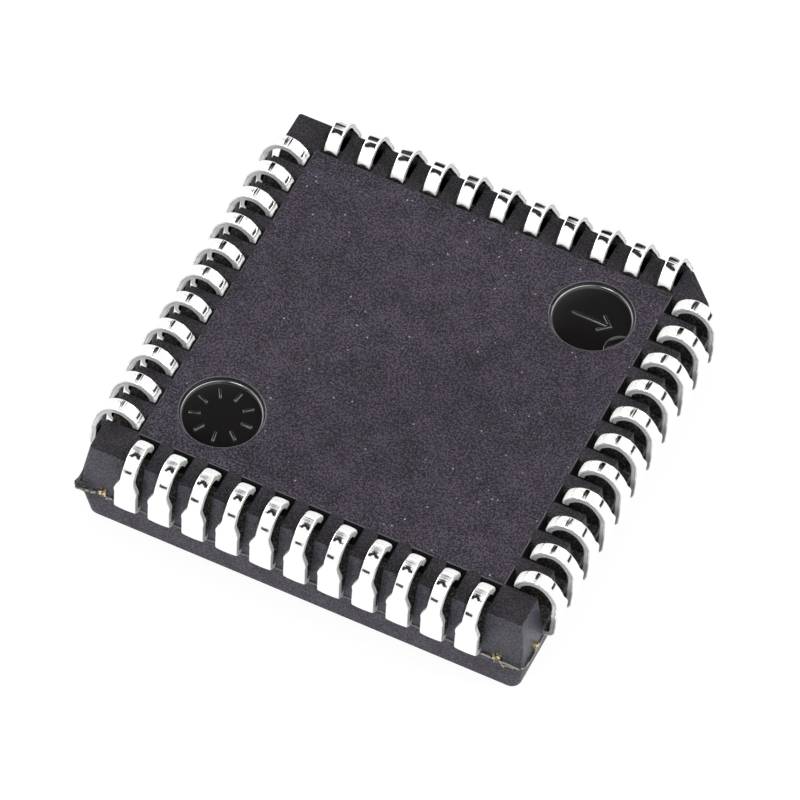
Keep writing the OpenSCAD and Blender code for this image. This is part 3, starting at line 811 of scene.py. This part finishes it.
def make_lead(number, side, step):
    chance = random.Random(number)
    sway, twist = chance.uniform(-0.014, 0.014), chance.uniform(-0.03, 0.03)
    bm = bmesh.new()
    names = ("depth", "scuff", "crest", "foot", "painted_patch", "run")
    for name in names:
        bm.verts.layers.float.new(name)
    layers = {name: bm.verts.layers.float[name] for name in names}
    inner_x, outer_x = step * FINGER_PITCH, step * PITCH
    end, crest = starts[-1], starts[4] + CREST * math.radians(48)
    crown, profile = CROWNS[side], section(CROWNS[side])
    rings = []
    for s in stations:
        wide = half_width(s)
        flat = wide - ROLL_WIDE
        left = [(dx - wide, deep) for dx, deep in profile[::-1]]
        middle = [(flat * i / 3, crown * (i / 3) ** 2) for i in range(-2, 3)]
        right = [(wide - dx, deep) for dx, deep in profile]
        slant = min(max((s - FINGER_END) / (root_s - 0.42 - FINGER_END), 0.0), 1.0)
        outside = smooth((s - starts[2]) / 1.5)
        line_x = inner_x + (outer_x - inner_x) * slant + sway * outside
        lean = LEANS[side] * smooth((s - starts[1]) / 1.4)
        pull = HOLLOW * smooth((s - end + HOLLOW_LONG) / HOLLOW_LONG)
        rubbed_here = RUBS[side] * (1 - smooth(abs(s - crest) / 0.22))
        along = {
            "scuff": max(smooth((s - end + SCUFFS[side]) / 0.16), rubbed_here),
            "crest": RIPPLES[side] * (1 - smooth((abs(s - crest) - 0.08) / 0.10)),
            "run": s + number * 7.3,
        }
        ring = []
        for x, deep in left + middle + right + [(0.0, THICK)]:
            r, z = bent(s - pull * (1 - (x / wide) ** 2), deep + x * twist * outside)
            vert = bm.verts.new(turned(side, line_x + x, r + lean, z))
            # Near the body the inner faces and the sides get painted shade, by row.
            low = smooth((SHADE_TOP - z) / SHADE_LONG)
            values = {**along, "depth": deep / THICK, "foot": FOOT_SHADES[side] * low, "painted_patch": SIDE_SHADES[side] * low}
            for name, value in values.items():
                vert[layers[name]] = value
            ring.append(vert)
        rings.append(ring)
    count = len(profile)
    cut = set(range(2, 5)) | set(range(count + 5 + 7, count + 5 + 10))
    for a, b in zip(rings, rings[1:]):
        for i, face in enumerate(bridge(bm, a, b)):
            face.material_index = 1 if i in cut else 0
    for ring in (rings[0], rings[-1]):
        bm.faces.new(ring).material_index = 1
    return make_piece(bm, f"tin_lead_{number:02d}", [tin, sheared], [f"lead_{number:02d}"])


leads = []
for number in range(1, 45):
    spot = (number + 4) % 44
    leads.append(make_lead(number, spot // 11, spot % 11 - 5))
print("leads:", len(leads), " polygons in each:", len(leads[0].data.polygons))

# %% [markdown]
# ## The studio
#
# The picture was taken in a light tent: nearly all round is white, so the tin looks white. The floor glows,
# like the lit sweep of a product table, and keeps only a faint shadow. The tent shows its full white to the
# camera and in reflections, and lights the part a little less, because the lamps add their share. Two dark
# spots in it stand for the camera and its stand: without them the polished recess floors would be white.

# %% Floor and world
floor_mesh = bmesh.new()
just_below = Matrix.Translation((0, 0, -0.02 * MM))
bmesh.ops.create_grid(floor_mesh, x_segments=1, y_segments=1, size=1.5, matrix=just_below)
mesh = bpy.data.meshes.new("floor")
floor_mesh.to_mesh(mesh)
floor_mesh.free()
floor = bpy.data.objects.new("floor", mesh)
bpy.context.scene.collection.objects.link(floor)
sweep, tree, shader = new_material("white product table, lit from below")
shader.inputs["Base Color"].default_value = (0.15, 0.15, 0.15, 1)
shader.inputs["Roughness"].default_value = 1.0
shader.inputs["Specular IOR Level"].default_value = 0.0
shader.inputs["Emission Color"].default_value = (1, 1, 1, 1)
shader.inputs["Emission Strength"].default_value = 0.90
mesh.materials.append(sweep)

world = bpy.data.worlds.new("light tent")
bpy.context.scene.world = world
world.use_nodes = True
tree = world.node_tree
tree.nodes.clear()
look = add(tree, "ShaderNodeTexCoord").outputs["Generated"]


def dark_spot(direction, inner_deg, outer_deg, level):
    """1 away from a direction of the tent, and level close to it, with a soft edge."""
    aim = Vector(direction).normalized()
    near = add(tree, "ShaderNodeVectorMath", {0: look, 1: aim}, operation="DOT_PRODUCT").outputs["Value"]
    return add(tree, "ShaderNodeMapRange", {
        "Value": near, "To Min": 1.0, "To Max": level,
        "From Min": math.cos(math.radians(outer_deg)), "From Max": math.cos(math.radians(inner_deg)),
    }, interpolation_type="SMOOTHSTEP").outputs[0]


rays = add(tree, "ShaderNodeLightPath")
seen = rays.outputs["Is Camera Ray"]
for kind in ("Is Glossy Ray", "Is Transmission Ray"):
    seen = add(tree, "ShaderNodeMath", {0: seen, 1: rays.outputs[kind]}, operation="MAXIMUM").outputs[0]
above = dark_spot((-0.30, 0.56, 0.77), 9, 17, 0.05)
at_back = dark_spot((-0.23, 0.72, 0.655), 7, 12, 0.05)
tent = add(tree, "ShaderNodeMath", {0: above, 1: at_back}, operation="MULTIPLY").outputs[0]
strength = add(tree, "ShaderNodeMix", {0: seen, 2: 0.7, 3: tent}).outputs[0]
sky = add(tree, "ShaderNodeBackground", {"Color": (1, 1, 1, 1), "Strength": strength})
add(tree, "ShaderNodeOutputWorld", {"Surface": sky.outputs[0]})
print("floor and tent ready")

# %% [markdown]
# Three small lamps outside the tent give the glints: on fillets, rims and the marks in the recesses. A lamp
# of a given brightness needs a power that grows with its area, so the power is worked out from both.

# %% Lamps
def lamp(name, direction, radius, brightness):
    """A round lamp that faces the part, 300 mm away; its radius is in millimetres."""
    light = bpy.data.lights.new(name, "AREA")
    light.shape = "DISK"
    light.size = 2 * radius * MM
    light.energy = brightness * math.pi * math.pi * (radius * MM) ** 2
    made = bpy.data.objects.new(name, light)
    bpy.context.scene.collection.objects.link(made)
    aim = Vector(direction).normalized()
    made.matrix_world = Matrix.Translation(aim * 0.3) @ aim.to_track_quat("Z", "Y").to_matrix().to_4x4()
    print(name, "power", round(light.energy, 3), "W")


lamp("lamp right", (0.80, 0.17, 0.57), 47, 12)
lamp("lamp left", (-0.77, -0.09, 0.63), 47, 3)
lamp("lamp front", (-0.228, -0.72, 0.65), 40, 10)

# %% [markdown]
# A few black cards hang in the tent. Mirror-like metal needs something dark to reflect, or it looks like
# paper. Two flat cards stand in front and on the right. The third is an arched ribbon overhead: each of its
# points is a place and half a width. They only show in reflections.

# %% Dark cards
card_material, tree, shader = new_material("black card")
shader.inputs["Base Color"].default_value = (0.01, 0.01, 0.01, 1)
shader.inputs["Roughness"].default_value = 1.0


def hang(name, corners, faces):
    """A card from its corners in metres, seen only by mirror-like surfaces."""
    mesh = bpy.data.meshes.new(name)
    mesh.from_pydata(corners, [], faces)
    mesh.materials.append(card_material)
    made = bpy.data.objects.new(name, mesh)
    bpy.context.scene.collection.objects.link(made)
    made.visible_camera = made.visible_diffuse = made.visible_shadow = False
    return made


def flat_card(name, direction, wide, high, roll, distance=150 * MM):
    """An upright card across a direction, rolled by some degrees; its sizes are in millimetres."""
    aim = Vector(direction).normalized()
    across = Vector((0, 0, 1)).cross(aim).normalized()
    rise = aim.cross(across)
    c, s = math.cos(math.radians(roll)), math.sin(math.radians(roll))
    across, rise = across * c + rise * s, rise * c - across * s
    across, rise, middle = across * wide * MM / 2, rise * high * MM / 2, aim * distance
    corners = [middle - across - rise, middle + across - rise, middle + across + rise, middle - across + rise]
    return hang(name, corners, [(0, 1, 2, 3)])


flat_card("card front", (-0.25, -0.94, 0.23), 54, 18, 8)
flat_card("card right", (0.81, 0.545, 0.20), 60, 22, -25)

shares = [i / 8 - 1 for i in range(17)]
ribbon = [(25 * t - 25, 5 - 38 * abs(t) ** 1.6, 16 - 8 * abs(t)) for t in shares]
corners = []
for i, (x, y, thick) in enumerate(ribbon):
    before, after = ribbon[max(i - 1, 0)], ribbon[min(i + 1, len(ribbon) - 1)]
    way = Vector((after[0] - before[0], after[1] - before[1])).normalized()
    corners += [Vector((x - way.y * half, y + way.x * half, 104)) * MM for half in (-thick, thick)]
hang("card above", corners, [(2 * i, 2 * i + 1, 2 * i + 3, 2 * i + 2) for i in range(len(ribbon) - 1)])
print("cards hung")

# %% [markdown]
# The tent has long light boxes on the left, on the right and in front. They are bright strips along an arc of
# directions that fade out at both ends, and only mirror-like surfaces see them: they draw the crescents in
# the recesses and the thin lines along rims, while the lamps and the tent alone set how light the part is.

# %% Light boxes
def light_box(name, start, stop, rise, high, strength):
    """A bright strip from one compass angle to another, at a height angle; all angles in degrees."""
    glow, tree, shader = new_material(name)
    shader.inputs["Base Color"].default_value = (0, 0, 0, 1)
    shader.inputs["Emission Color"].default_value = (1, 1, 1, 1)
    faded = add(tree, "ShaderNodeAttribute", attribute_name="glow").outputs["Fac"]
    power = add(tree, "ShaderNodeMath", {0: faded, 1: strength}, operation="MULTIPLY").outputs[0]
    tree.links.new(power, shader.inputs["Emission Strength"])
    corners = []
    for i in range(13):
        turn = math.radians(start + (stop - start) * i / 12)
        for tilt in (math.radians(rise - high / 2), math.radians(rise + high / 2)):
            level = math.cos(tilt)
            aim = Vector((math.cos(turn) * level, math.sin(turn) * level, math.sin(tilt)))
            corners.append(aim * 250 * MM)
    box = hang(name, corners, [(2 * i, 2 * i + 1, 2 * i + 3, 2 * i + 2) for i in range(12)])
    box.data.materials[0] = glow
    fade = box.data.attributes.new("glow", "FLOAT", "POINT")
    fade.data.foreach_set("value", [math.sin(math.pi * (i // 2) / 12) ** 0.7 for i in range(26)])


light_box("light box right", -75, 75, 36, 14, 11)
light_box("light box left", 135, 245, 38, 14, 7)
light_box("light box front", -135, -80, 41, 12, 18)
print("light boxes ready")

# %% [markdown]
# The camera's place and turn were fitted to the corners of the lead slots in the photograph. It looks from
# the front right, steeply down and rolled by a few degrees, through a very long lens, so that lines in the
# part stay almost parallel.

# %% Camera
AROUND, ABOVE, ROLLED = (math.radians(a) for a in (22.64, 53.77, -3.75))
DISTANCE, FOCAL = 261.78, 348.4
back = Vector((math.sin(AROUND) * math.cos(ABOVE), -math.cos(AROUND) * math.cos(ABOVE), math.sin(ABOVE)))
level = (-back).cross(Vector((0, 0, 1))).normalized()
upright = level.cross(-back)
right = level * math.cos(ROLLED) - upright * math.sin(ROLLED)
up = level * math.sin(ROLLED) + upright * math.cos(ROLLED)
aim = Vector((0.418, -1.508, TOP)) * MM

camera_data = bpy.data.cameras.new("camera")
camera_data.sensor_width = 36
camera_data.lens = FOCAL
camera = bpy.data.objects.new("camera", camera_data)
bpy.context.scene.collection.objects.link(camera)
turn = Matrix((right, up, back)).transposed().to_4x4()
camera.matrix_world = Matrix.Translation(aim + back * DISTANCE * MM) @ turn
bpy.context.scene.camera = camera
bpy.context.scene.view_settings.view_transform = "Standard"
print("camera at", [round(c / MM, 1) for c in camera.location], "mm")

# %% Done
print("scene built")
